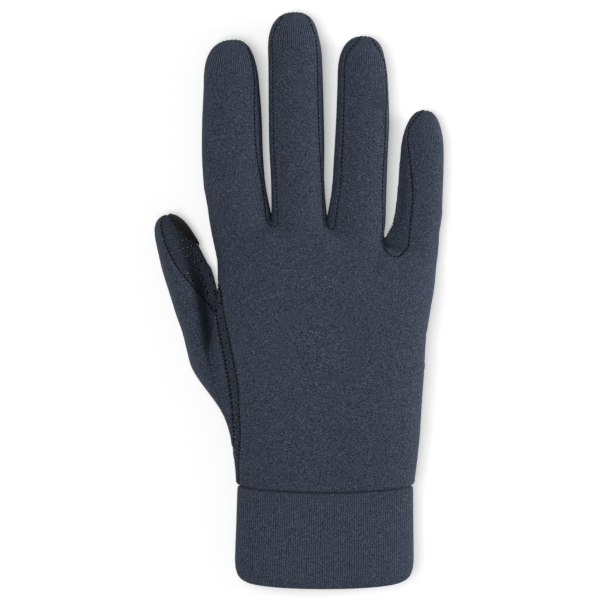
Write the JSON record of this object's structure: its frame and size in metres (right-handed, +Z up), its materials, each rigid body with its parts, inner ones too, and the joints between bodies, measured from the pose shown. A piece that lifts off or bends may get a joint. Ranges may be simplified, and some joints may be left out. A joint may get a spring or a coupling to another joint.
{
  "type": "fleece glove",
  "caption": "Right-hand stretch fleece glove with a plain back, dotted grip palm and thumb, side gussets between the fingers, a thumb touch patch and a doubled cuff.",
  "frame": {"origin": "on the surface that the glove lies on, under the middle of its length and width", "axes": "+Z up out of the back of the hand, +Y towards the fingertips, +X towards the little finger"},
  "size_m": [0.115, 0.2304, 0.0241],
  "materials": {
    "brushed_fleece": "brushed matt navy melange fleece",
    "grip_fleece": "matt navy fleece printed with small glossy silicone dots",
    "touch_cloth": "smooth black leather-like touch cloth",
    "cuff_fleece": "brushed matt navy melange fleece with fine upright ribs"
  },
  "bodies": {
    "root": {"back_panel": "brushed_fleece", "palm_panel": "grip_fleece", "gusset_index_middle": "brushed_fleece", "gusset_middle_ring": "brushed_fleece", "gusset_ring_little": "brushed_fleece", "thumb_outer": "brushed_fleece", "thumb_inner": "grip_fleece", "thumb_touch_patch": "touch_cloth", "cuff_band": "cuff_fleece"}
  },
  "joints": []
}
